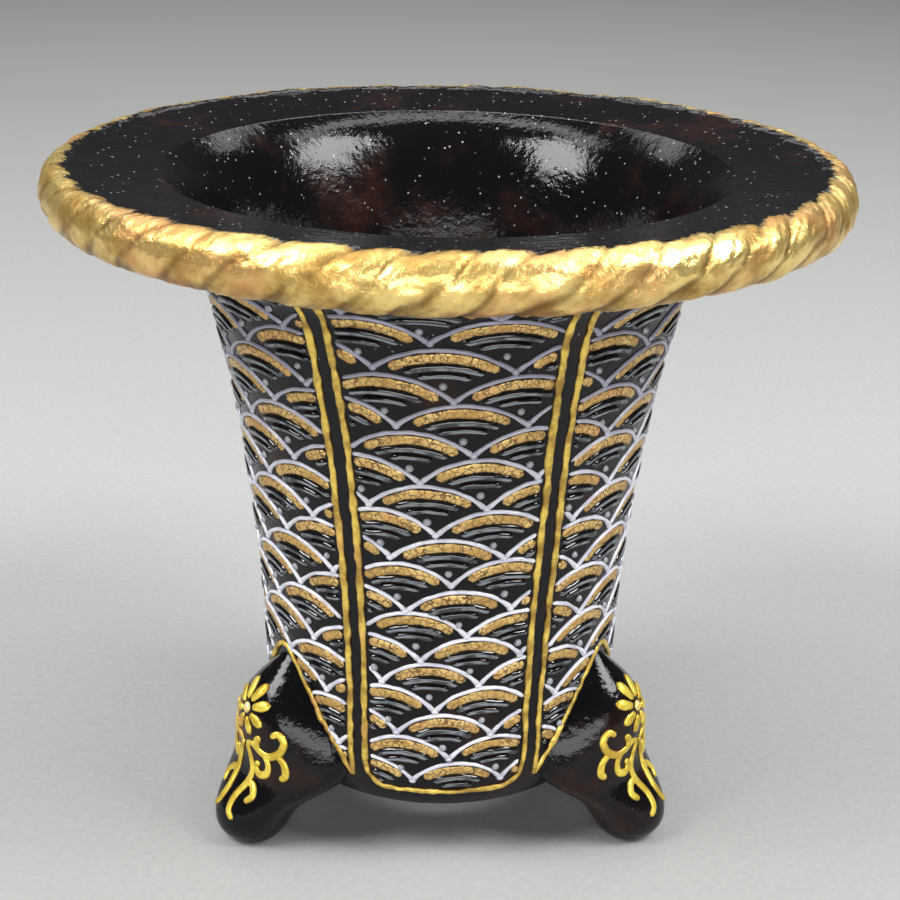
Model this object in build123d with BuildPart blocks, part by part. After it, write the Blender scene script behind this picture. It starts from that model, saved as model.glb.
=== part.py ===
"""Footed orchid pot: a thrown cup with a wide brim, a twisted rope rim, three moulded feet and
six panels of slip-trailed waves with gilding.  Millimetres, +Z up.  The pot stands on z = 0,
its axis is the Z axis and its plain front panel faces -Y."""

import math
import os

from build123d import *

# ---------------------------------------------------------------- driving dimensions
FLOOR_BOTTOM = 9.8           # underside of the base above the ground
FLOOR_THICKNESS = 5.0
FLOOR_TOP = FLOOR_BOTTOM + FLOOR_THICKNESS
FLOOR_CORNER = 2.5           # inside radius between the floor and the wall
DRAIN_RADIUS = 11.0

MOUTH_RADIUS = 38.4          # edge between the funnel and the brim
MOUTH_HEIGHT = 95.3
MOUTH_ROUND = 0.9            # the edge's own rounding
BRIM_RADIUS = 50.0           # the brim's own edge, tucked into the rope
BRIM_HEIGHT = 96.9
BRIM_UNDERSIDE = 91.6
BRIM_RISE = 0.2              # the underside lifts this much on its way out

ROPE_CENTRE_RADIUS = 50.7
ROPE_CENTRE_HEIGHT = 93.6
ROPE_HALF_WIDTH = 3.1
ROPE_HALF_HEIGHT = 3.45
ROPE_STRANDS = 3
ROPE_TURNS = 15              # turns that the strands make round the rim
ROPE_LOBE = 0.09             # swell of a strand, as a share of the section
ROPE_SIDES = 18
ROPE_STEPS = 4

SECTOR_DEG = 60              # six panels
DIVIDER_TOP_DEG = 28.6       # a divider, from the middle of a plain panel, under the brim
DIVIDER_BOTTOM_DEG = 28.0    # and at the base
PANEL_TOP = 86.0
PANEL_BOTTOM = 12.2
PANEL_LEVELS = [76.0, 62.0, 46.0, 30.0]   # heights that fix a panel's sides, with its ends
PANEL_CORNER = 3.5
SEAM_LEVELS = [9.0, 12.0, 15.0, 18.0, 21.0, 24.0]   # heights that fix the line over a foot
SEAM_TOP = 27.4              # where that line crosses the foot's ridge
SEAM_CLEARANCE = 0.35        # from the foot to the gold line over it
SETBACK_TOP = 0.95           # from the divider's middle to the gold line, under the brim
SETBACK_BOTTOM = 0.6         # and at the base
BORDER_WIDTH = 1.0
FIELD_GAP = 0.25             # bare wall between the gold line and the waves

SLIP_HEIGHT = 0.35           # trailed slip stands this proud of the wall
GILD_HEIGHT = 0.12           # gilding is a thin flat film

WAVE_TOP_ROW = 85.05         # height of the highest row of cusps
WAVE_ROWS = 19
WAVE_PHASE = 0.318           # where the top row's cusps lie, in waves from the panel's middle
ROW_PITCH = 3.95
ROW_DRIFT = 0.072            # each row starts this share of a wave further along
WAVE_RISE = 3.35             # a wave's peak above its cusps
WAVE_WIDTH_TOP = 19.0
WAVE_WIDTH_BOTTOM = 12.4
WIDEST_SINE = 0.66           # waves beyond this share of the wall's radius are off the panel
LINE_WIDTH = 0.65
GILD_BAND = (1.15, 0.70, 1.2)                           # drop, reach in half waves, thickness
RIPPLE_BAND = (2.5, 0.52, 0.7)

# outside of the wall from the base to the underside of the brim, as (radius, height)
BASE_EDGE = (24.2, FLOOR_BOTTOM)
OUTER_WALL = [BASE_EDGE, (25.0, 12.4), (25.7, 22.3), (26.4, 38.3), (27.4, 48.5), (28.6, 58.4),
              (30.1, 68.0), (32.2, 77.3), (35.4, 84.8), (40.5, 89.6), (47.5, BRIM_UNDERSIDE)]
OUTER_TANGENTS = [(0.5, 1), (1, 0.1)]
SHOULDER_TANGENT = (1, 0.6)  # the wall's slope at the last point but one
# inside of the cup from the mouth down to the floor
INNER_WALL = [(MOUTH_RADIUS, MOUTH_HEIGHT), (35.2, 92.6), (31.8, 86.5), (28.5, 77.3),
              (26.2, 68.0), (24.6, 58.4), (23.4, 48.5), (22.5, 38.3), (21.9, 26.0),
              (21.4, FLOOR_TOP + FLOOR_CORNER)]
INNER_TANGENTS = [(-1, -0.55), (0, -1)]

# a foot as ellipses in level planes: (height, inner reach, outer reach, half width)
FOOT_SECTIONS = [(0.0, 28.4, 35.2, 3.6), (1.6, 26.9, 36.8, 5.0), (4.6, 24.9, 37.0, 6.3),
                 (8.2, 21.5, 34.6, 8.6), (11.6, 16.0, 32.6, 11.2), (15.5, 12.0, 32.6, 11.0),
                 (20.0, 12.5, 32.4, 8.6), (24.5, 15.0, 29.4, 5.2), (28.6, 18.0, 25.0, 1.4)]

# raised gold on a foot, seen from in front of it: across, up
TRIM_PROUD = 0.3             # flower and scrollwork stand this proud of the foot
TRIM_DEPTH = 26.0            # they lie further out than this from the pot's axis
SCROLL_WIDTH = 0.8
SCROLL_BEND = 0.6
SCROLL_PATHS = [
    [(6.6, 18.6), (5.2, 19.2), (4.9, 17.4), (6.2, 16.0), (3.4, 15.6), (0.6, 15.4)],
    [(7.6, 11.4), (6.2, 12.9), (4.4, 12.6), (4.8, 14.4), (3.4, 15.6)],
    [(0.6, 15.4), (1.9, 11.2), (1.4, 6.0), (2.9, 5.0), (3.4, 7.4)],
]
FLOWER_HEIGHT = 20.7
FLOWER_PETALS = 8
FLOWER_PETAL_REACH = 2.4
FLOWER_PETAL_LENGTH = 2.8
FLOWER_PETAL_WIDTH = 1.5
FLOWER_EYE_RADIUS = 0.9

# azimuths run from -Y towards +X
PLAIN_PANELS = {"front": 0, "rear_right": 120, "rear_left": 240}
FOOT_PANELS = {"front_right": 60, "rear": 180, "front_left": 300}


def wall_radius(height):
    """Outside radius of the wall at a height, read off the profile's straight steps."""
    for (r0, z0), (r1, z1) in zip(OUTER_WALL, OUTER_WALL[1:]):
        if height <= z1:
            return r0 + (r1 - r0) * (height - z0) / (z1 - z0)
    return OUTER_WALL[-1][0]


# ---------------------------------------------------------------- thrown body
with BuildPart() as thrown_body:
    with BuildSketch(Plane.XZ):
        with BuildLine():
            outer = Spline(OUTER_WALL, tangents=OUTER_TANGENTS)
            skirt = Line(outer @ 1, (BRIM_RADIUS, BRIM_UNDERSIDE + BRIM_RISE))
            edge = Line(skirt @ 1, (BRIM_RADIUS, BRIM_HEIGHT))
            brim = Line(edge @ 1, (MOUTH_RADIUS, MOUTH_HEIGHT))
            inner = Spline(INNER_WALL, tangents=INNER_TANGENTS)
            corner = JernArc(start=inner @ 1, tangent=(0, -1), radius=FLOOR_CORNER, arc_size=-90)
            floor = Line(corner @ 1, (DRAIN_RADIUS, FLOOR_TOP))
            drain = Line(floor @ 1, (DRAIN_RADIUS, FLOOR_BOTTOM))
            Line(drain @ 1, outer @ 0)
        profile = make_face()
        mouth = profile.vertices().sort_by_distance((MOUTH_RADIUS, MOUTH_HEIGHT))[0]
        fillet(mouth, MOUTH_ROUND)
    revolve(axis=Axis.Z)

# everything inside the pot's outside surface, for trimming what is stuck on it
with BuildPart() as envelope:
    with BuildSketch(Plane.XZ):
        with BuildLine():
            side = Spline(OUTER_WALL, tangents=OUTER_TANGENTS)
            Polyline(side @ 1, (0, BRIM_UNDERSIDE), (0, FLOOR_BOTTOM), side @ 0)
        make_face()
    revolve(axis=Axis.Z)

# ---------------------------------------------------------------- rope round the rim
SEGMENT_DEG = 360 / (ROPE_STRANDS * ROPE_TURNS)


def rope_plane(azimuth):
    """Upright plane through the pot's axis, centred on the rope: X outwards, Y up."""
    out = Vector(1, 0, 0).rotate(Axis.Z, azimuth)
    middle = out * ROPE_CENTRE_RADIUS + Vector(0, 0, ROPE_CENTRE_HEIGHT)
    return Plane(origin=middle, x_dir=out, z_dir=out.cross(Vector(0, 0, 1)))


def rope_corner(index, twist):
    """One corner of the strands' outline, swollen where a strand's back lies."""
    around = 360 * index / ROPE_SIDES + twist
    swell = 1 + ROPE_LOBE * math.cos(math.radians(ROPE_STRANDS * (around - twist)))
    turned = math.radians(around)
    return (ROPE_HALF_WIDTH * swell * math.cos(turned), ROPE_HALF_HEIGHT * swell * math.sin(turned))


with BuildPart() as rope_segment:
    for step in range(ROPE_STEPS + 1):
        share = step / ROPE_STEPS
        with BuildSketch(rope_plane(SEGMENT_DEG * share)):
            with BuildLine():
                twist = share * 360 / ROPE_STRANDS
                Polyline([rope_corner(i, twist) for i in range(ROPE_SIDES)], close=True)
            make_face()
    loft()
    add(thrown_body.part, mode=Mode.SUBTRACT)

with BuildPart() as rope_rim:
    with PolarLocations(0, ROPE_STRANDS * ROPE_TURNS):
        add(rope_segment.part)

# ---------------------------------------------------------------- feet
with BuildPart() as foot:
    for height, inner_reach, outer_reach, half_width in FOOT_SECTIONS:
        with BuildSketch(Plane.XY.offset(height)):
            with Locations((0, -(inner_reach + outer_reach) / 2)):
                Ellipse(half_width, (outer_reach - inner_reach) / 2)
    loft()
    add(envelope.part, mode=Mode.SUBTRACT)


# ---------------------------------------------------------------- panels on the wall
def wall_skin(thickness):
    """The front half of a skin of that thickness on the outside of the wall."""
    with BuildPart() as skin:
        with BuildSketch(Plane.XZ):
            with BuildLine():
                wall = Spline(OUTER_WALL[:-1], tangents=[OUTER_TANGENTS[0], SHOULDER_TANGENT])
                proud = Spline([(r + thickness, z) for r, z in OUTER_WALL[:-1]],
                               tangents=[OUTER_TANGENTS[0], SHOULDER_TANGENT])
                Line(wall @ 0, proud @ 0)
                Line(wall @ 1, proud @ 1)
            make_face()
        revolve(axis=Axis.Z, revolution_arc=-180)
    return skin.part


def on_wall(drawing, thickness):
    """A drawing on the XZ plane laid on the wall, as proud as that thickness."""
    with BuildPart() as relief:
        extrude(drawing, amount=BRIM_RADIUS, dir=(0, -1, 0))
        add(wall_skin(thickness), mode=Mode.INTERSECT)
    return relief.part


def panel_side(height, half_angle_of):
    """Half width of a panel at a height, to the middle of the dividing groove."""
    share = (PANEL_TOP - height) / (PANEL_TOP - PANEL_BOTTOM)
    divider = DIVIDER_TOP_DEG + (DIVIDER_BOTTOM_DEG - DIVIDER_TOP_DEG) * share
    setback = SETBACK_TOP + (SETBACK_BOTTOM - SETBACK_TOP) * share
    half_angle = half_angle_of(divider)
    return wall_radius(height) * math.sin(math.radians(half_angle)) - setback


def foot_half_width(height):
    """Half the width that a foot takes up on the wall at a height."""
    for (z0, *below), (z1, *above) in zip(FOOT_SECTIONS, FOOT_SECTIONS[1:]):
        if z0 <= height <= z1:
            share = (height - z0) / (z1 - z0)
            inside, outside, half = [a + (b - a) * share for a, b in zip(below, above)]
    middle, reach = (inside + outside) / 2, (outside - inside) / 2
    wall = wall_radius(height)
    low, high = 0.0, math.pi / 2
    for _ in range(30):
        turn = (low + high) / 2
        across, out = half * math.sin(turn), middle + reach * math.cos(turn)
        if math.hypot(across, out) > wall:
            low = turn
        else:
            high = turn
    return half * math.sin(low)


def foot_arch(grow):
    """The patch of wall that a foot covers, grown all round."""
    flank = [(foot_half_width(z) + 0.8 * grow, z + 0.5 * grow) for z in SEAM_LEVELS]
    mirrored = [(-across, z) for across, z in reversed(flank)]
    with BuildSketch(Plane.XZ) as arch:
        with BuildLine():
            seam = Spline(flank + [(0, SEAM_TOP + grow)] + mirrored)
            Line(seam @ 0, seam @ 1)
        make_face()
    return arch.sketch


def panel_outline(half_angle_of, has_foot, inset):
    """A panel as far in from its gold line's outer edge as inset."""
    top, bottom = PANEL_TOP - inset, PANEL_BOTTOM + inset
    levels = [top] + PANEL_LEVELS + [bottom]
    right = [(panel_side(height, half_angle_of) - inset, height) for height in levels]
    with BuildSketch(Plane.XZ) as panel:
        with BuildLine():
            side = Spline(right)
            Line(side @ 1, (0, bottom))
            Line(side @ 0, (0, top))
            mirror(about=Plane.YZ)
        make_face()
        low_corners = [v for v in panel.vertices() if v.Z < bottom + 1 and abs(v.X) > 1]
        fillet(low_corners, PANEL_CORNER - inset)
        if has_foot:
            add(foot_arch(SEAM_CLEARANCE + inset), mode=Mode.SUBTRACT)
    return panel.sketch


def crest(x, width):
    """Height of a wave's outline above its cusps, that far from the wave's middle."""
    radius = (width**2 / 4 + WAVE_RISE**2) / (2 * WAVE_RISE)
    return math.sqrt(radius**2 - x**2) - radius + WAVE_RISE


def wave_row(row):
    """(cusp height, wave width, where the cusps are) for a row."""
    height = WAVE_TOP_ROW - ROW_PITCH * row
    share = (PANEL_TOP - height) / (PANEL_TOP - PANEL_BOTTOM)
    width = WAVE_WIDTH_TOP + (WAVE_WIDTH_BOTTOM - WAVE_WIDTH_TOP) * share
    start = (WAVE_PHASE + ROW_DRIFT * row + 0.5 * (row % 2)) % 1
    return height, width, [(k + start) * width for k in range(-3, 3)]


def wave_outlines(clip):
    """The trailed scallops, one scalloped band to a row, joined where they touch."""
    with BuildSketch(Plane.XZ) as lines:
        for row in range(WAVE_ROWS):
            height, _, cusps = wave_row(row)
            above, below = height + LINE_WIDTH / 2, height - LINE_WIDTH / 2
            with BuildLine():
                for a, b in zip(cusps, cusps[1:]):
                    ThreePointArc((a, above), ((a + b) / 2, above + WAVE_RISE), (b, above))
                    ThreePointArc((a, below), ((a + b) / 2, below + WAVE_RISE), (b, below))
                Line((cusps[0], below), (cusps[0], above))
                Line((cusps[-1], below), (cusps[-1], above))
            make_face()
        add(clip, mode=Mode.INTERSECT)
    return lines.sketch


def wave_bands(clip, drop, reach, thickness):
    """A tapered band inside each wave, that far below its outline."""
    with BuildSketch(Plane.XZ) as drawing:
        for row in range(WAVE_ROWS):
            height, width, cusps = wave_row(row)
            for middle in [(a + b) / 2 for a, b in zip(cusps, cusps[1:])]:
                if abs(middle) > wall_radius(height) * WIDEST_SINE:
                    continue
                half = reach * width / 2
                end = height + crest(half, width) - drop
                peak = height + WAVE_RISE - drop
                with BuildLine():
                    over = ThreePointArc((middle - half, end), (middle, peak + thickness / 2),
                                         (middle + half, end))
                    ThreePointArc(over @ 0, (middle, peak - thickness / 2), over @ 1)
                make_face()
        add(clip, mode=Mode.INTERSECT)
    return drawing.sketch


def panel_pieces(half_angle_of, has_foot):
    """The four layers of one panel that faces -Y."""
    with BuildSketch(Plane.XZ) as border:
        add(panel_outline(half_angle_of, has_foot, 0))
        add(panel_outline(half_angle_of, has_foot, BORDER_WIDTH), mode=Mode.SUBTRACT)
    field = panel_outline(half_angle_of, has_foot, BORDER_WIDTH + FIELD_GAP)
    return {
        "gold_border": on_wall(border.sketch, SLIP_HEIGHT),
        "wave_lines": on_wall(wave_outlines(field), SLIP_HEIGHT),
        "wave_gilding": on_wall(wave_bands(field, *GILD_BAND), GILD_HEIGHT),
        "wave_ripples": on_wall(wave_bands(field, *RIPPLE_BAND), SLIP_HEIGHT),
    }


plain_panel = panel_pieces(lambda divider: divider, False)
foot_panel = panel_pieces(lambda divider: SECTOR_DEG - divider, True)

# ---------------------------------------------------------------- decoration on a foot
with BuildPart() as foot_jacket:
    for height, inner_reach, outer_reach, half_width in FOOT_SECTIONS:
        with BuildSketch(Plane.XY.offset(height)):
            with Locations((0, -(inner_reach + outer_reach) / 2)):
                Ellipse(half_width + TRIM_PROUD, (outer_reach - inner_reach) / 2 + TRIM_PROUD)
    loft()
    add(envelope.part, mode=Mode.SUBTRACT)

foot_shell = foot_jacket.part - foot.part
trim_plane = Plane.XZ.offset(TRIM_DEPTH)


def on_foot(drawing):
    """A drawing seen from in front of a foot, laid on its outside."""
    with BuildPart() as relief:
        extrude(drawing, amount=BRIM_RADIUS - TRIM_DEPTH, dir=(0, -1, 0))
        add(foot_shell, mode=Mode.INTERSECT)
    return relief.part


with BuildSketch(trim_plane) as flower_drawing:
    with Locations((0, FLOWER_HEIGHT)):
        Circle(FLOWER_EYE_RADIUS)
        with PolarLocations(FLOWER_PETAL_REACH, FLOWER_PETALS):
            Ellipse(FLOWER_PETAL_LENGTH / 2, FLOWER_PETAL_WIDTH / 2)
foot_flower = on_foot(flower_drawing.sketch)


def scroll_stroke(path):
    with BuildSketch(trim_plane) as stroke:
        with BuildLine():
            FilletPolyline(path, radius=SCROLL_BEND)
        trace(line_width=SCROLL_WIDTH)
    return on_foot(stroke.sketch)


strokes = [scroll_stroke(path) for path in SCROLL_PATHS]
with BuildPart() as foot_scroll:
    add(strokes)
    mirror(about=Plane.YZ)

# ---------------------------------------------------------------- write every piece
os.makedirs("parts", exist_ok=True)


def write(shape, name, azimuth=0):
    """Turn a piece made on the -Y side to its azimuth and write it under its name."""
    piece = shape.rotate(Axis.Z, azimuth)
    piece.label = name
    export_step(piece, f"parts/{name}.step")


write(thrown_body.part, "thrown_body")
write(rope_rim.part, "rope_rim")
for name, azimuth in PLAIN_PANELS.items():
    for layer, shape in plain_panel.items():
        write(shape, f"{layer}_{name}", azimuth)
for name, azimuth in FOOT_PANELS.items():
    write(foot.part, f"foot_{name}", azimuth)
    write(foot_flower, f"foot_flower_{name}", azimuth)
    write(foot_scroll.part, f"foot_scroll_{name}", azimuth)
    for layer, shape in foot_panel.items():
        write(shape, f"{layer}_{name}", azimuth)
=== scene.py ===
"""Looks of the footed orchid pot: black glazed body and feet, a gilt twisted rope rim, and six
panels of slip-trailed wave scales with gold borders.  Metres, in the CAD model's frame."""

import math
import random

import bpy
import numpy as np
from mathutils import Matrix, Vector, noise
from mathutils.bvhtree import BVHTree


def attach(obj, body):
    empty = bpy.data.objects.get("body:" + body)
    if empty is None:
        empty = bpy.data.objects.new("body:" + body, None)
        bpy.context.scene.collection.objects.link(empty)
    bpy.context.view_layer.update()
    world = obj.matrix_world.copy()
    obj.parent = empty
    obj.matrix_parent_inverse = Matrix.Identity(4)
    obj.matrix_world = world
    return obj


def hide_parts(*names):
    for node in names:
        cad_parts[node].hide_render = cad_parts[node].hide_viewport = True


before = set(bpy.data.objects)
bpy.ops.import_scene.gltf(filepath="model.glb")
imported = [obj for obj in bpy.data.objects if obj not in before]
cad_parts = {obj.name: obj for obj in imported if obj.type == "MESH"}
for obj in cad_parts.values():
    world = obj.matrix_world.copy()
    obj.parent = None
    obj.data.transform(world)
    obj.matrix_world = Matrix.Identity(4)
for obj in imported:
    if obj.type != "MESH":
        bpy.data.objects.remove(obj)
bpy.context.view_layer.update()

MM = 0.001
PANELS = {"front": 0, "front_right": 60, "rear_right": 120, "rear": 180, "rear_left": 240,
          "front_left": 300}                  # azimuth of each panel's middle, from -Y towards +X
FEET = ("front_right", "rear", "front_left")

# the rope, a hair larger than the CAD model's because its lobes dip below this outline
ROPE_CENTRE = (50.7 * MM, 93.6 * MM)          # radius, height
ROPE_HALF = (3.15 * MM, 3.5 * MM)             # half width, half height
ROPE_LOBES = 45                               # strands' backs met on the way round the rim
ROPE_STRANDS = 3
ROPE_GRID = (1500, 60)                        # mesh points round the rim and round the rope

# the panels
DIVIDER_TOP_DEG = 28.6                        # from the middle of a plain panel, at PANEL_TOP
DIVIDER_BOTTOM_DEG = 28.0
PANEL_TOP = 86.0 * MM
PANEL_BOTTOM = 12.4 * MM
PANEL_CORNER = 3.6 * MM
CHEVRON_TOP = 28.3 * MM
OFFSET_TOP = 1.45 * MM                        # from a divider's middle to the gold line's middle
OFFSET_BOTTOM = 1.10 * MM

# the waves
TOP_ROW = 84.65 * MM                          # height of the highest cusps
ROWS = 19
ROW_PITCH = 3.93 * MM
ROW_DRIFT = 0.072                             # each row starts this share of a wave further along
WAVE_RISE = 3.35 * MM
# a wave's width at each height, in mm
WAVE_WIDTHS = ((12, 12.3), (30, 13.5), (50, 14.6), (66, 15.8), (77, 17.6), (86, 19.2))
# where each panel's top cusps lie, in waves from its middle
WAVE_START = {"front": 0.318, "front_right": 0.62, "rear_right": 0.05, "rear": 0.44,
              "rear_left": 0.86, "front_left": 0.12}
LINE_WIDTH, LINE_HEIGHT = 0.61 * MM, 0.36 * MM
GILD_WIDTH, GILD_HEIGHT = 1.38 * MM, 0.15 * MM
GILD_DROP = 1.15 * MM                         # a drop is how far a stroke lies below its wave's outline
RIPPLE_WIDTHS = (1.20 * MM, 0.98 * MM)
RIPPLE_HEIGHTS = (0.44 * MM, 0.42 * MM)
RIPPLE_DROPS = (2.45 * MM, 3.60 * MM)
PEARL_HEIGHT = 0.48 * MM
PEARL_DROP = 5.15 * MM
LEAN = math.radians(-2.2)                     # the drawing drifts this far round by the top
LEAN_FROM = 50 * MM                           # height where that drift starts
SINK = 0.12 * MM                              # beads go this deep into the wall


# ---------------------------------------------------------------- the surface to trail on
def tree_of(names):
    """One search tree over several CAD nodes."""
    points, faces = [], []
    for name in names:
        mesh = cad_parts[name].data
        start = len(points)
        points += [v.co.copy() for v in mesh.vertices]
        faces += [[start + i for i in p.vertices] for p in mesh.polygons]
    return BVHTree.FromPolygons(points, faces)


WALL_TREE = tree_of(["thrown_body"])
POT_TREE = tree_of(["thrown_body"] + [f"foot_{name}" for name in FEET])


def outward(azimuth):
    """Level unit vector at an azimuth in radians, from -Y towards +X."""
    return Vector((math.sin(azimuth), -math.cos(azimuth), 0))


def wall_radius(height):
    hit = WALL_TREE.ray_cast(outward(0.01) * 0.046 + Vector((0, 0, height)), -outward(0.01))
    return math.hypot(hit[0].x, hit[0].y)


LEVELS = np.linspace(10.2 * MM, 88.5 * MM, 160)
RADII = np.array([wall_radius(z) for z in LEVELS])
SLOPES = np.gradient(RADII, LEVELS)


def on_wall(arc, height, middle):
    """Point and normal on the wall, an arc's length from a panel's middle azimuth."""
    radius = float(np.interp(height, LEVELS, RADII))
    slope = float(np.interp(height, LEVELS, SLOPES))
    drift = LEAN * max(height - LEAN_FROM, 0) / (PANEL_TOP - LEAN_FROM)
    way = outward(middle + arc / radius + drift)
    return way * radius + Vector((0, 0, height)), (way - Vector((0, 0, slope))).normalized()


def on_pot(arc, height, middle):
    """As on_wall, but over the feet where they stand proud of it."""
    point, normal = on_wall(arc, height, middle)
    way = Vector((point.x, point.y, 0)).normalized()
    hit = POT_TREE.ray_cast(way * 0.06 + Vector((0, 0, height)), -way)
    if hit[0] is not None and math.hypot(hit[0].x, hit[0].y) > math.hypot(point.x, point.y):
        return hit[0], (hit[1] + normal).normalized()
    return point, normal


def on_foot(across, height, middle):
    """Point and normal on a foot, seen square on from outside."""
    side = Vector((math.cos(middle), math.sin(middle), 0))
    start = outward(middle) * 0.06 + side * across + Vector((0, 0, height))
    hit = POT_TREE.ray_cast(start, -outward(middle))
    return hit[0], hit[1]


# ---------------------------------------------------------------- beads of slip
class Beads:
    """Collects rounded beads into one mesh, with how high each point lies on its bead."""

    SIDES = 8

    def __init__(self):
        self.points, self.faces, self.crest = [], [], []

    def lay(self, path, normals, width, height, flat=1.0, ends=1.0):
        """A bead along a path of points.  Width and height are numbers or lists along it.
        flat under 1 squares its top, and ends is how far its ends round off, in widths."""
        count = len(path)
        path = np.array(path, float)
        normals = np.array(normals, float)
        tangents = np.gradient(path, axis=0)
        tangents /= np.linalg.norm(tangents, axis=1)[:, None]
        sideways = np.cross(tangents, normals)
        sideways /= np.linalg.norm(sideways, axis=1)[:, None]
        widths = np.broadcast_to(np.asarray(width, float), count).copy()
        heights = np.broadcast_to(np.asarray(height, float), count).copy()
        steps = np.r_[0, np.cumsum(np.linalg.norm(np.diff(path, axis=0), axis=1))]
        if ends > 0:
            reach = np.maximum(widths * 0.5 * ends, 1e-6)
            near = np.minimum(steps, steps[-1] - steps)
            share = np.clip(near / reach, 0.0, 1.0)
            taper = np.sqrt(np.clip(1 - (1 - share) ** 2, 0.02, 1))
            widths *= taper
            heights *= taper
        start = len(self.points)
        for i in range(count):
            for k in range(self.SIDES):
                turn = math.pi * k / (self.SIDES - 1)
                lift = math.sin(turn) ** flat
                offset = sideways[i] * widths[i] * 0.5 * math.cos(turn)
                offset = offset + normals[i] * (heights[i] * lift - (1 - lift) * SINK)
                self.points.append(path[i] + offset)
                self.crest.append(lift)
        for i in range(count - 1):
            a, b = start + i * self.SIDES, start + (i + 1) * self.SIDES
            for k in range(self.SIDES):
                m = (k + 1) % self.SIDES
                self.faces.append((a + k, b + k, b + m, a + m))
        self.faces.append(tuple(start + k for k in range(self.SIDES)))
        last = start + (count - 1) * self.SIDES
        self.faces.append(tuple(last + k for k in reversed(range(self.SIDES))))

    def drop(self, point, normal, radius, height, pale=0.0):
        """A round pearl of slip.  pale is added to its crest value, for the material to read."""
        side = Vector(normal).orthogonal().normalized()
        other = Vector(normal).cross(side)
        rings, turns = 4, 14
        start = len(self.points)
        for r in range(rings + 1):
            lift = math.sin(r / rings * math.pi / 2)
            reach = math.cos(r / rings * math.pi / 2) * radius
            for t in range(turns if r < rings else 1):
                angle = 2 * math.pi * t / turns
                spot = side * math.cos(angle) * reach + other * math.sin(angle) * reach
                rise = height * lift - SINK * (1 - lift)
                self.points.append(np.array(Vector(point) + spot + Vector(normal) * rise))
                self.crest.append(lift + pale)
        for r in range(rings - 1):
            a, b = start + r * turns, start + (r + 1) * turns
            for t in range(turns):
                n = (t + 1) % turns
                self.faces.append((a + t, a + n, b + n, b + t))
        a, top = start + (rings - 1) * turns, start + rings * turns
        for t in range(turns):
            self.faces.append((a + t, a + (t + 1) % turns, top))
        self.faces.append(tuple(start + t for t in reversed(range(turns))))

    def build(self, name, material, *replaced):
        mesh = bpy.data.meshes.new(name)
        mesh.from_pydata([tuple(p) for p in self.points], [], self.faces)
        layer = mesh.attributes.new("crest", "FLOAT", "POINT")
        layer.data.foreach_set("value", np.array(self.crest, np.float32))
        return place(name, mesh, material, *replaced)


def place(name, mesh, material, *replaced):
    """Put a finished mesh in the scene, riding on the pot, in place of CAD nodes."""
    mesh.validate()
    mesh.shade_smooth()
    piece = bpy.data.objects.new(name, mesh)
    bpy.context.scene.collection.objects.link(piece)
    mesh.materials.append(material)
    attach(piece, "root")
    if replaced:
        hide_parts(*replaced)
    return piece


# ---------------------------------------------------------------- materials
def material(name):
    """A new material with its node tree, its principled shader and a maker of nodes."""
    made = bpy.data.materials.new(name)
    made.use_nodes = True
    tree = made.node_tree
    shader = tree.nodes["Principled BSDF"]

    def node(kind, **settings):
        new = tree.nodes.new("ShaderNode" + kind)
        for key, value in settings.items():
            if key in new.inputs:
                new.inputs[key].default_value = value
            else:
                setattr(new, key, value)
        return new

    return made, tree.links.new, shader, node


def ramp(node, *stops):
    """A colour ramp with stops given as (place, (r, g, b))."""
    made = node("ValToRGB")
    while len(made.color_ramp.elements) < len(stops):
        made.color_ramp.elements.new(0.5)
    for element, (place_at, colour) in zip(made.color_ramp.elements, stops):
        element.position = place_at
        element.color = (*colour, 1)
    return made


def mix(node, link, factor, first, second):
    """Mix two colours, each a socket or an (r, g, b)."""
    made = node("MixRGB")
    for index, source in ((0, factor), (1, first), (2, second)):
        if isinstance(source, (tuple, list)):
            made.inputs[index].default_value = (*source, 1)
        elif isinstance(source, (int, float)):
            made.inputs[index].default_value = source
        else:
            link(source, made.inputs[index])
    return made.outputs[0]


def level(node, link, source, low, high, bottom=0.0, top=1.0):
    """Stretch low..high of a value to bottom..top, clamped."""
    made = node("MapRange", interpolation_type="SMOOTHSTEP")
    for index, value in ((1, low), (2, high), (3, bottom), (4, top)):
        made.inputs[index].default_value = value
    link(source, made.inputs[0])
    return made.outputs[0]


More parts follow.
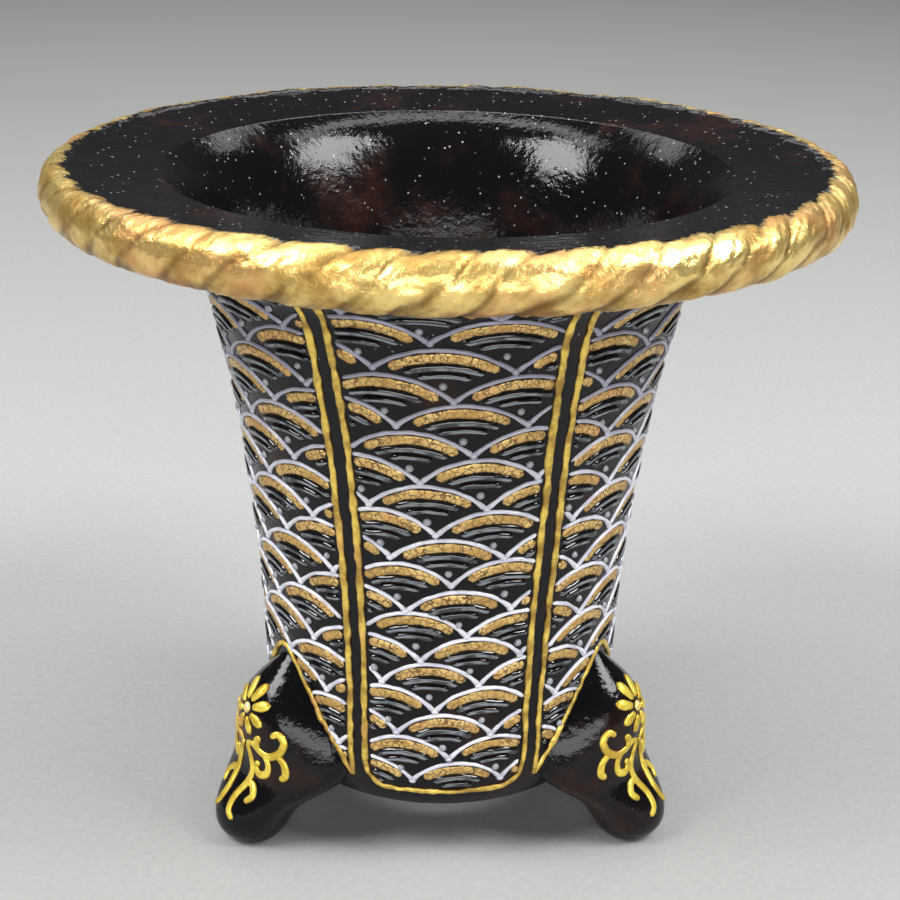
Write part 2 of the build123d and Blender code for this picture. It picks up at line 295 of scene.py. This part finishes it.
def black_glaze():
    """Glossy black glaze: orange peel, pinholes, pale specks and a reddish thin-glaze tint."""
    made, link, shader, node = material("black_glaze")
    place_at = node("TexCoord").outputs["Object"]
    peel = node("TexNoise", Scale=800.0, Detail=3.0, Roughness=0.6)
    swell = node("TexNoise", Scale=110.0, Detail=2.0)
    tint = node("TexNoise", Scale=60.0, Detail=4.0, Roughness=0.65)
    pits = node("TexVoronoi", Scale=330.0)
    specks = node("TexVoronoi", Scale=850.0)
    for texture in (peel, swell, tint, pits, specks):
        link(place_at, texture.inputs["Vector"])
    red = level(node, link, tint.outputs[0], 0.50, 0.72)
    glaze = mix(node, link, red, (0.0035, 0.0032, 0.0040), (0.020, 0.0065, 0.0045))
    dust = level(node, link, specks.outputs["Distance"], 0.06, 0.17, 1.0, 0.0)
    rare = level(node, link, specks.outputs["Color"], 0.50, 0.55)
    both = node("Math", operation="MULTIPLY")
    link(dust, both.inputs[0])
    link(rare, both.inputs[1])
    apart = node("SeparateXYZ")
    link(place_at, apart.inputs[0])
    upper = level(node, link, apart.outputs["Z"], 0.070, 0.090, 0.05, 1.0)
    settled = node("Math", operation="MULTIPLY")
    link(both.outputs[0], settled.inputs[0])
    link(upper, settled.inputs[1])
    link(mix(node, link, settled.outputs[0], glaze, (0.34, 0.34, 0.32)), shader.inputs["Base Color"])
    rough = level(node, link, tint.outputs[0], 0.35, 0.75, 0.07, 0.20)
    link(rough, shader.inputs["Roughness"])
    shader.inputs["Specular IOR Level"].default_value = 0.24
    pit = level(node, link, pits.outputs["Distance"], 0.05, 0.16)
    bump = node("Bump", Strength=0.30, Distance=0.00012)
    link(pit, bump.inputs["Height"])
    second = node("Bump", Strength=0.40, Distance=0.00022)
    link(peel.outputs[0], second.inputs["Height"])
    link(bump.outputs[0], second.inputs["Normal"])
    third = node("Bump", Strength=0.25, Distance=0.0010)
    link(swell.outputs[0], third.inputs["Height"])
    link(second.outputs[0], third.inputs["Normal"])
    link(third.outputs[0], shader.inputs["Normal"])
    return made


def gold(name, bright, deep, roughness, crackle=0.0, edge=0.35, scale=1.0):
    """Gold over slip: brown where it thins at the edges, with a fired crackle if asked for."""
    made, link, shader, node = material(name)
    place_at = node("TexCoord").outputs["Object"]
    crest = node("Attribute", attribute_name="crest").outputs["Fac"]
    blotch = node("TexNoise", Scale=340.0 * scale, Detail=4.0, Roughness=0.62)
    grain = node("TexNoise", Scale=1500.0 * scale, Detail=3.0, Roughness=0.6)
    copper = node("TexNoise", Scale=150.0 * scale, Detail=2.0)
    for texture in (blotch, grain, copper):
        link(place_at, texture.inputs["Vector"])
    shade = level(node, link, blotch.outputs[0], 0.36, 0.66)
    colour = mix(node, link, shade, deep, bright)
    warm = level(node, link, copper.outputs[0], 0.58, 0.72, 0.0, 0.35)
    colour = mix(node, link, warm, colour, (0.72, 0.34, 0.14))
    thin = level(node, link, crest, edge * 0.3, edge + 0.2, 1.0, 0.0)
    colour = mix(node, link, thin, colour, (0.10, 0.045, 0.012))
    height = grain.outputs[0]
    if crackle:
        cells = node("TexVoronoi", feature="DISTANCE_TO_EDGE", Scale=1150.0)
        bent = node("TexNoise", Scale=900.0, Detail=2.0)
        link(place_at, bent.inputs["Vector"])
        wander = node("MixRGB", blend_type="LINEAR_LIGHT")
        wander.inputs[0].default_value = 0.0006
        link(place_at, wander.inputs[1])
        link(bent.outputs["Color"], wander.inputs[2])
        link(wander.outputs[0], cells.inputs["Vector"])
        crack = level(node, link, cells.outputs["Distance"], 0.02, 0.11, crackle, 0.0)
        where = level(node, link, blotch.outputs[0], 0.30, 0.60, 0.35, 1.0)
        both = node("Math", operation="MULTIPLY")
        link(crack, both.inputs[0])
        link(where, both.inputs[1])
        colour = mix(node, link, both.outputs[0], colour, (0.085, 0.035, 0.012))
    link(colour, shader.inputs["Base Color"])
    shader.inputs["Metallic"].default_value = 0.55
    link(level(node, link, blotch.outputs[0], 0.3, 0.75, roughness + 0.14, roughness - 0.06),
         shader.inputs["Roughness"])
    bump = node("Bump", Strength=0.35, Distance=0.00012)
    link(height, bump.inputs["Height"])
    second = node("Bump", Strength=0.4, Distance=0.0003)
    link(blotch.outputs[0], second.inputs["Height"])
    link(bump.outputs[0], second.inputs["Normal"])
    link(second.outputs[0], shader.inputs["Normal"])
    return made


def pale_line():
    """White slip under clear glaze: lavender where it runs thin, brown along its edges, and painted
    shade that darkens it towards the rim.
    """
    made, link, shader, node = material("pale_slip")
    place_at = node("TexCoord").outputs["Object"]
    crest = node("Attribute", attribute_name="crest").outputs["Fac"]
    blotch = node("TexNoise", Scale=260.0, Detail=3.0)
    link(place_at, blotch.inputs["Vector"])
    apart = node("SeparateXYZ")
    link(place_at, apart.inputs[0])
    # painted shade: the slip is greyed towards the top, where the rim shades the upper rows
    upper = level(node, link, apart.outputs["Z"], 0.050, 0.082)
    body = mix(node, link, upper, (0.62, 0.62, 0.68), (0.24, 0.23, 0.29))
    thin = level(node, link, blotch.outputs[0], 0.42, 0.70, 0.0, 0.6)
    body = mix(node, link, thin, body, (0.30, 0.29, 0.38))
    edge = level(node, link, crest, 0.10, 0.62, 1.0, 0.0)
    link(mix(node, link, edge, body, (0.050, 0.026, 0.024)), shader.inputs["Base Color"])
    shader.inputs["Roughness"].default_value = 0.16
    shader.inputs["Specular IOR Level"].default_value = 0.6
    bump = node("Bump", Strength=0.3, Distance=0.0002)
    link(blotch.outputs[0], bump.inputs["Height"])
    link(bump.outputs[0], shader.inputs["Normal"])
    return made


def glazed_ridge():
    """Slip under the black glaze: black flanks and a blue-grey crest, partly the slip showing where the
    glaze thins and partly a painted highlight.
    """
    made, link, shader, node = material("glazed_ridge")
    place_at = node("TexCoord").outputs["Object"]
    crest = node("Attribute", attribute_name="crest").outputs["Fac"]
    blotch = node("TexNoise", Scale=420.0, Detail=3.0)
    link(place_at, blotch.inputs["Vector"])
    # painted highlight: a patchy blue-grey streak along each ridge's crest, partly also slip showing
    # through thin glaze
    top = level(node, link, crest, 0.90, 1.0)
    patchy = level(node, link, blotch.outputs[0], 0.36, 0.60, 0.08, 1.0)
    both = node("Math", operation="MULTIPLY")
    link(top, both.inputs[0])
    link(patchy, both.inputs[1])
    slip = mix(node, link, both.outputs[0], (0.003, 0.003, 0.005), (0.22, 0.24, 0.26))
    pearl = level(node, link, crest, 1.05, 1.5)
    link(mix(node, link, pearl, slip, (0.25, 0.26, 0.28)), shader.inputs["Base Color"])
    shader.inputs["Roughness"].default_value = 0.12
    shader.inputs["Specular IOR Level"].default_value = 0.7
    bump = node("Bump", Strength=0.35, Distance=0.0002)
    link(blotch.outputs[0], bump.inputs["Height"])
    link(bump.outputs[0], shader.inputs["Normal"])
    return made


def gilt_rope():
    """Gold leaf over the twisted coil, with painted shade darkening it in the grooves and on the
    underside, giving way to black glaze inside.
    """
    made, link, shader, node = material("gilt_rope")
    place_at = node("TexCoord").outputs["Object"]
    crest = node("Attribute", attribute_name="crest").outputs["Fac"]
    gilded = node("Attribute", attribute_name="gilded").outputs["Fac"]
    blotch = node("TexNoise", Scale=170.0, Detail=5.0, Roughness=0.62)
    grain = node("TexNoise", Scale=900.0, Detail=4.0, Roughness=0.65)
    copper = node("TexNoise", Scale=75.0, Detail=2.0)
    for texture in (blotch, grain, copper):
        link(place_at, texture.inputs["Vector"])
    shade = level(node, link, blotch.outputs[0], 0.34, 0.64)
    leaf = mix(node, link, shade, (0.43, 0.25, 0.06), (0.95, 0.71, 0.25))
    warm = level(node, link, copper.outputs[0], 0.50, 0.66, 0.0, 0.6)
    leaf = mix(node, link, warm, leaf, (0.76, 0.38, 0.16))
    # painted shade: brown in the grooves between strands and on the rope's underside, where the crest
    # value is low
    groove_and_underside_shade = level(node, link, crest, 0.0, 0.55, 0.75, 0.0)
    leaf = mix(node, link, groove_and_underside_shade, leaf, (0.14, 0.065, 0.015))
    link(mix(node, link, gilded, (0.004, 0.0037, 0.0042), leaf), shader.inputs["Base Color"])
    link(level(node, link, gilded, 0.3, 0.7, 0.0, 0.86), shader.inputs["Metallic"])
    worn = level(node, link, blotch.outputs[0], 0.3, 0.7, 0.46, 0.25)
    keep = node("MixRGB")
    link(gilded, keep.inputs[0])
    keep.inputs[1].default_value = (0.10, 0.10, 0.10, 1)
    link(worn, keep.inputs[2])
    link(keep.outputs[0], shader.inputs["Roughness"])
    bump = node("Bump", Strength=0.60, Distance=0.00022)
    link(grain.outputs[0], bump.inputs["Height"])
    second = node("Bump", Strength=0.45, Distance=0.0007)
    link(blotch.outputs[0], second.inputs["Height"])
    link(bump.outputs[0], second.inputs["Normal"])
    link(second.outputs[0], shader.inputs["Normal"])
    return made


BLACK = black_glaze()
BORDER_GOLD = gold("border_gold", (0.86, 0.62, 0.12), (0.36, 0.22, 0.04), 0.34, edge=0.72)
BAND_GOLD = gold("band_gold", (0.78, 0.54, 0.20), (0.54, 0.33, 0.10), 0.38, crackle=0.92, edge=0.42)
FOOT_GOLD = gold("foot_gold", (0.90, 0.70, 0.10), (0.50, 0.34, 0.03), 0.32, edge=0.55)
EYE_GOLD = gold("eye_gold", (0.95, 0.80, 0.38), (0.78, 0.56, 0.16), 0.32, edge=0.2)
PALE = pale_line()
RIDGE = glazed_ridge()
ROPE_GOLD = gilt_rope()

for name in ["thrown_body"] + [f"foot_{name}" for name in FEET]:
    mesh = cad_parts[name].data
    mesh.materials.clear()
    mesh.materials.append(BLACK)


# ---------------------------------------------------------------- panels
def half_width(height, has_foot):
    """Arc from a panel's middle to its gold line's middle, at a height."""
    share = (PANEL_TOP - height) / (PANEL_TOP - PANEL_BOTTOM)
    degrees = DIVIDER_TOP_DEG + (DIVIDER_BOTTOM_DEG - DIVIDER_TOP_DEG) * share
    if has_foot:
        degrees = 60 - degrees
    offset = OFFSET_TOP + (OFFSET_BOTTOM - OFFSET_TOP) * share
    return float(np.interp(height, LEVELS, RADII)) * math.radians(degrees) - offset


def low_edge(arc, half, has_foot):
    """Height of a panel's lower gold line, an arc's length from its middle."""
    reach = min(abs(arc) / half, 1.0)
    if has_foot:
        peak = CHEVRON_TOP - PANEL_BOTTOM
        return PANEL_BOTTOM + 1.0 * MM + peak * (1 - (reach**2 + 0.012) ** 0.62) / 0.94
    corner = PANEL_CORNER / half
    turn = max(reach - (1 - corner), 0.0) / corner
    return PANEL_BOTTOM + PANEL_CORNER * (1 - math.sqrt(max(1 - turn**2, 0.0)))


def wobble(seed, place_at, scale, amount):
    """Hand tremor: smooth noise along a stroke."""
    return noise.noise(Vector((place_at / scale, seed * 7.31, seed * 1.7))) * amount


def border(panel, has_foot):
    """The trailed gold line round one panel."""
    beads = Beads()
    middle = math.radians(PANELS[panel])
    seed = PANELS[panel] / 60 + 1
    foot_half = half_width(PANEL_BOTTOM + 1.5 * MM, has_foot)
    outline = []
    for height in np.linspace(PANEL_TOP, PANEL_BOTTOM + PANEL_CORNER, 190):
        outline.append((-half_width(height, has_foot), height))
    for arc in np.linspace(-1, 1, 150):
        across = math.sin(arc * math.pi / 2) * foot_half
        outline.append((across, low_edge(across, foot_half, has_foot)))
    for height in np.linspace(PANEL_BOTTOM + PANEL_CORNER, PANEL_TOP, 190):
        outline.append((half_width(height, has_foot), height))
    path, normals, widths, heights = [], [], [], []
    length = 0.0
    last = outline[0]
    for arc, height in outline:
        length += math.hypot(arc - last[0], height - last[1])
        if path and math.hypot(arc - last[0], height - last[1]) < 0.12 * MM:
            continue
        last = (arc, height)
        drift = wobble(seed, length, 4 * MM, 0.22 * MM) + wobble(seed + 9, length, 1.2 * MM, 0.08 * MM)
        point, normal = on_pot(arc + drift, height, middle)
        path.append(point)
        normals.append(normal)
        upper = (height - PANEL_BOTTOM) / (PANEL_TOP - PANEL_BOTTOM)
        widths.append((0.92 + 0.30 * upper) * MM * (1 + wobble(seed + 3, length, 1.6 * MM, 0.45)))
        heights.append(0.34 * MM * (1 + wobble(seed + 5, length, 1.1 * MM, 0.6)))
    beads.lay(path, normals, widths, heights, flat=0.7)
    return beads.build(f"border_{panel}", BORDER_GOLD, f"gold_border_{panel}")


def inside(arc, height, has_foot, margin):
    """True where a stroke may run: within the panel's gold line."""
    if height > PANEL_TOP or height < PANEL_BOTTOM:
        return False
    half = half_width(height, has_foot)
    if abs(arc) > half - margin:
        return False
    foot_half = half_width(PANEL_BOTTOM + 1.5 * MM, has_foot)
    return height > low_edge(arc, foot_half, has_foot) + margin


def stroke(beads, points, middle, has_foot, margin, width, height, **kind):
    """Lay the stretches of a stroke that lie within the panel."""
    run = []
    for point in points + [None]:
        if point is not None and inside(point[0], point[1], has_foot, margin):
            run.append(point)
            continue
        if len(run) > 3:
            laid = [on_pot(arc, z, middle) for arc, z, _ in run]
            scale = np.array([s for _, _, s in run])
            beads.lay([p for p, _ in laid], [n for _, n in laid], width * scale, height, **kind)
        run = []


def wave_width(height):
    heights = [z * MM for z, _ in WAVE_WIDTHS]
    return float(np.interp(height, heights, [w * MM for _, w in WAVE_WIDTHS]))


def crest_at(x, width, rise):
    radius = (width**2 / 4 + rise**2) / (2 * rise)
    return math.sqrt(max(radius**2 - x**2, 0)) - radius + rise


def waves(panel, has_foot):
    """All the trailed and gilded strokes of one panel."""
    middle = math.radians(PANELS[panel])
    dice = random.Random(1000 + PANELS[panel])
    lines, bands, ridges = Beads(), Beads(), Beads()
    for row in range(ROWS):
        height = TOP_ROW - ROW_PITCH * row
        width = wave_width(height)
        start = (WAVE_START[panel] + ROW_DRIFT * row + 0.5 * (row % 2)) % 1
        cusps = [((k + start) * width + dice.uniform(-0.35, 0.35) * MM,
                  height + dice.uniform(-0.22, 0.22) * MM) for k in range(-3, 4)]
        for (left, left_z), (right, right_z) in zip(cusps, cusps[1:]):
            centre, span = (left + right) / 2, right - left
            rise = WAVE_RISE + dice.uniform(-0.18, 0.18) * MM
            lean = dice.uniform(-0.04, 0.04)
            seed = dice.uniform(0, 50)

            def along(drop, reach, count, swell=0.0):
                """Points of an arc this far below the wave's outline."""
                points = []
                for t in np.linspace(-1, 1, count):
                    x = t * reach * span / 2
                    tilt = (right_z - left_z) * x / span
                    z = (left_z + right_z) / 2 + tilt + crest_at(x, span, rise) - drop
                    z += wobble(seed, x + drop, 1.6 * MM, 0.10 * MM)
                    scale = 1 + swell * max(abs(t) * 6 - 5, 0) + wobble(seed + 4, x, 1.1 * MM, 0.25)
                    points.append((centre + x + lean * (rise - drop), z, scale))
                return points

            stroke(lines, along(0, 1.0, 41, swell=0.55), middle, has_foot, 0.45 * MM,
                   LINE_WIDTH, LINE_HEIGHT, flat=0.8, ends=0.5)
            gild = dice.uniform(0.70, 0.78)
            stroke(bands, along(GILD_DROP, gild, 37), middle, has_foot, 0.62 * MM,
                   GILD_WIDTH, GILD_HEIGHT, flat=0.30, ends=1.0)
            reach = dice.uniform(0.53, 0.60)
            stroke(ridges, along(RIPPLE_DROPS[0], reach, 27), middle, has_foot, 0.6 * MM,
                   RIPPLE_WIDTHS[0], RIPPLE_HEIGHTS[0], flat=0.9, ends=1.5)
            reach = dice.uniform(0.34, 0.40)
            stroke(ridges, along(RIPPLE_DROPS[1], reach, 19), middle, has_foot, 0.6 * MM,
                   RIPPLE_WIDTHS[1], RIPPLE_HEIGHTS[1], flat=0.9, ends=1.5)
            pearl_arc = centre + dice.uniform(-0.25, 0.25) * MM
            pearl_z = (left_z + right_z) / 2 + rise - PEARL_DROP - dice.uniform(-0.15, 0.15) * MM
            if inside(pearl_arc, pearl_z, has_foot, 0.9 * MM):
                point, normal = on_pot(pearl_arc, pearl_z, middle)
                ridges.drop(point, normal, dice.uniform(0.48, 0.60) * MM, PEARL_HEIGHT, pale=1.0)
        for arc, z in cusps:
            if inside(arc, z - 0.3 * MM, has_foot, 0.7 * MM):
                points = [(arc, z + 0.55 * MM, 0.75), (arc, z + 0.25 * MM, 1.05),
                          (arc, z - 0.1 * MM, 1.15), (arc, z - 0.5 * MM, 1.05)]
                laid = [on_pot(a, h, middle) for a, h, _ in points]
                lines.lay([p for p, _ in laid], [n for _, n in laid],
                          [s * 0.95 * MM for _, _, s in points], 0.40 * MM, flat=0.8, ends=0.6)
    lines.build(f"wave_outline_{panel}", PALE, f"wave_lines_{panel}")
    bands.build(f"wave_gold_{panel}", BAND_GOLD, f"wave_gilding_{panel}")
    ridges.build(f"wave_ridges_{panel}", RIDGE, f"wave_ripples_{panel}")


for panel in PANELS:
    border(panel, panel in FEET)
    waves(panel, panel in FEET)


# ---------------------------------------------------------------- rope round the rim
def rope():
    """A twisted coil: rounded strands that lean one way, uneven as hands leave them."""
    around, across = ROPE_GRID
    turns = np.linspace(0, 2 * math.pi, around, endpoint=False)
    points, crest, gilded = [], [], []
    for i, turn in enumerate(turns):
        way = Vector((math.sin(turn), -math.cos(turn), 0))
        ring = Vector((math.cos(turn), math.sin(turn), 0)) * 3
        warp = noise.noise(ring * 2.2) * 0.9 + noise.noise(ring * 6.0 + Vector((5, 0, 0))) * 0.35
        depth = 0.55 + 0.45 * noise.noise(ring * 0.9 + Vector((0, 9, 0))) + 0.35 * math.sin(turn)
        depth = min(max(depth, 0.22), 1.25)
        sag = noise.noise(ring * 1.3 + Vector((0, 0, 4))) * 0.25 * MM
        for k in range(across):
            theta = 2 * math.pi * k / across
            phase = ROPE_LOBES * turn - ROPE_STRANDS * theta + warp * 2.2
            strand = abs(math.cos(phase / 2))
            minor = abs(math.cos(phase * 1.5 + 0.8))
            lift = (strand**0.7 - 0.62) * 0.46 * depth + (minor**0.8 - 0.6) * 0.13 * depth
            spot = Vector((ring.x * 5, ring.y * 5, theta * 2.2))
            lumps = noise.noise(spot * 1.1) * 0.16 + noise.noise(spot * 4.0) * 0.06
            push = (lift + lumps) * MM
            wide = ROPE_HALF[0] + push
            tall = ROPE_HALF[1] + push
            radius = ROPE_CENTRE[0] + wide * math.cos(theta)
            height = ROPE_CENTRE[1] + sag + tall * math.sin(theta)
            points.append((way.x * radius, way.y * radius, height))
            # painted shade: the crest value, which the gold reads, is lowered on the underside so it
            # turns brown there
            under = 0.32 * max(-math.sin(theta), 0)
            crest.append(min(max(0.5 + lift * 1.3 / max(depth, 0.3) + lumps - under, 0), 1))
            tooth = 0.30 * (strand - 0.5) + noise.noise(spot * 7) * 0.22 + noise.noise(spot * 2) * 0.2
            edge = math.degrees(theta) - (88 + 42 * tooth)
            over = min(max(0.5 - edge / 5, 0), 1) if theta < math.pi else 0.0
            if theta > math.radians(262):
                over = 1.0
            gilded.append(over)
    faces = []
    for i in range(around):
        j = (i + 1) % around
        for k in range(across):
            m = (k + 1) % across
            faces.append((i * across + k, i * across + m, j * across + m, j * across + k))
    mesh = bpy.data.meshes.new("gilt_rope")
    mesh.from_pydata(points, [], faces)
    for label, values in (("crest", crest), ("gilded", gilded)):
        layer = mesh.attributes.new(label, "FLOAT", "POINT")
        layer.data.foreach_set("value", np.array(values, np.float32))
    mesh.flip_normals()
    return place("gilt_rope", mesh, ROPE_GOLD, "rope_rim")


rope()


# ---------------------------------------------------------------- gold on the feet
def smooth(points, steps=9):
    """A Catmull-Rom curve through given points."""
    ends = [points[0]] + list(points) + [points[-1]]
    curve = []
    for p0, p1, p2, p3 in zip(ends, ends[1:], ends[2:], ends[3:]):
        for t in np.linspace(0, 1, steps, endpoint=False):
            curve.append(tuple(0.5 * (2 * b + (c - a) * t + (2 * a - 5 * b + 4 * c - d) * t**2
                                      + (3 * b - a - 3 * c + d) * t**3)
                               for a, b, c, d in zip(p0, p1, p2, p3)))
    return curve + [tuple(points[-1])]


FLOWER_HEIGHT = 20.7 * MM
PETALS = 8
# strokes on one flank of a foot, in mm: across from its ridge, height
SCROLLS = (
    ((0.5, 15.3), (2.0, 15.9), (3.6, 15.2), (5.1, 15.0), (6.5, 16.0), (6.8, 17.6), (5.9, 18.7),
     (5.1, 18.1)),
    ((3.2, 15.3), (2.9, 16.6), (3.6, 17.5)),
    ((6.2, 15.7), (7.3, 14.4), (7.6, 12.8), (6.9, 12.0)),
    ((4.2, 15.1), (5.0, 13.6), (4.7, 12.0), (3.3, 11.5), (2.6, 12.5), (3.3, 13.3)),
    ((0.5, 15.3), (1.3, 13.5), (1.9, 11.4), (1.7, 9.4), (1.2, 7.6), (1.5, 5.8), (2.7, 4.8)),
    ((1.7, 9.6), (3.0, 9.6), (3.9, 8.5), (3.2, 7.5)),
)


def foot_gold(foot):
    """An eight-petalled flower on the knee and scrollwork down both flanks."""
    middle = math.radians(PANELS[foot])
    scrolls, petals, eye = Beads(), Beads(), Beads()
    for side in (-1, 1):
        for path in SCROLLS:
            points = [on_foot(side * across * MM, z * MM, middle) for across, z in smooth(path)]
            points = [p for p in points if p[0] is not None]
            count = len(points)
            widths = [1.12 * MM * (0.8 + 0.35 * math.sin(math.pi * i / count)) for i in range(count)]
            scrolls.lay([p for p, _ in points], [n for _, n in points], widths, 0.34 * MM, flat=0.8)
    for k in range(PETALS):
        turn = 2 * math.pi * (k + 0.5) / PETALS
        points = []
        for reach in np.linspace(1.15, 3.9, 10):
            across, up = reach * math.sin(turn), reach * math.cos(turn)
            points.append(on_foot(across * MM, FLOWER_HEIGHT + up * MM, middle))
        widths = [MM * w for w in np.interp(np.linspace(0, 1, 10), [0, 0.6, 1], [0.9, 1.75, 1.2])]
        petals.lay([p for p, _ in points], [n for _, n in points], widths, 0.36 * MM, flat=0.8, ends=0.9)
    point, normal = on_foot(0, FLOWER_HEIGHT, middle)
    eye.drop(point, normal, 0.85 * MM, 0.5 * MM)
    petals.build(f"flower_{foot}", FOOT_GOLD, f"foot_flower_{foot}")
    eye.build(f"flower_eye_{foot}", EYE_GOLD)
    scrolls.build(f"scrolls_{foot}", FOOT_GOLD, f"foot_scroll_{foot}")


for foot in FEET:
    foot_gold(foot)


# ---------------------------------------------------------------- floor, light and camera
def floor():
    """A wide pale floor."""
    reach = 1.6
    points = [(-reach, -reach, 0), (reach, -reach, 0), (reach, reach, 0), (-reach, reach, 0)]
    faces = [(0, 1, 2, 3)]
    mesh = bpy.data.meshes.new("floor")
    mesh.from_pydata(points, [], faces)
    mesh.shade_smooth()
    piece = bpy.data.objects.new("floor", mesh)
    bpy.context.scene.collection.objects.link(piece)
    made, link, shader, node = material("floor_paper")
    grain = node("TexNoise", Scale=900.0, Detail=3.0)
    link(node("TexCoord").outputs["Object"], grain.inputs["Vector"])
    tone = ramp(node, (0.3, (0.31, 0.31, 0.305)), (0.7, (0.34, 0.34, 0.335)))
    link(grain.outputs[0], tone.inputs[0])
    link(tone.outputs[0], shader.inputs["Base Color"])
    shader.inputs["Roughness"].default_value = 0.75
    mesh.materials.append(made)


def lamp(name, place_at, size, power, target=(0, 0, 0.08), colour=(1, 1, 1)):
    """A rectangular soft light aimed at a point."""
    data = bpy.data.lights.new(name, "AREA")
    data.shape = "RECTANGLE"
    data.size, data.size_y = size
    data.energy = power
    data.color = colour
    lamp_object = bpy.data.objects.new(name, data)
    bpy.context.scene.collection.objects.link(lamp_object)
    lamp_object.location = place_at
    lamp_object.rotation_euler = (Vector(target) - Vector(place_at)).to_track_quat("-Z", "Y").to_euler()


floor()
lamp("key_left", (-0.46, -0.16, 0.60), (0.30, 0.34), 6.0)
lamp("key_right", (0.46, -0.16, 0.60), (0.30, 0.34), 6.0)
lamp("front", (0.0, -0.80, 0.24), (1.0, 0.25), 5.0)
lamp("top", (0.0, 0.10, 0.70), (1.0, 0.12), 2.5)
lamp("back", (0.0, 0.85, 0.90), (1.8, 0.40), 7.0, target=(0, 0.85, 0))
world = bpy.data.worlds.new("studio")
bpy.context.scene.world = world
world.use_nodes = True
world.node_tree.nodes["Background"].inputs[0].default_value = (0.85, 0.87, 0.90, 1)
world.node_tree.nodes["Background"].inputs[1].default_value = 0.08

DISTANCE, HEIGHT = 0.216, 0.1423              # the camera, from the pot's axis and from the floor
PITCH, ROLL = math.radians(22.31), math.radians(1.05)
TURN = math.radians(-2.5)                     # the pot stands a little turned to the camera
camera_data = bpy.data.cameras.new("camera")
camera_data.lens = 64.7
camera_data.sensor_width = 36
camera_data.shift_x = 7 / 900
camera = bpy.data.objects.new("camera", camera_data)
bpy.context.scene.collection.objects.link(camera)
camera.location = (DISTANCE * math.sin(TURN), -DISTANCE * math.cos(TURN), HEIGHT)
camera.rotation_euler = (math.radians(90) - PITCH, 0, TURN)
camera.rotation_euler.rotate_axis("Z", ROLL)
bpy.context.scene.camera = camera
bpy.context.scene.view_settings.view_transform = "Standard"
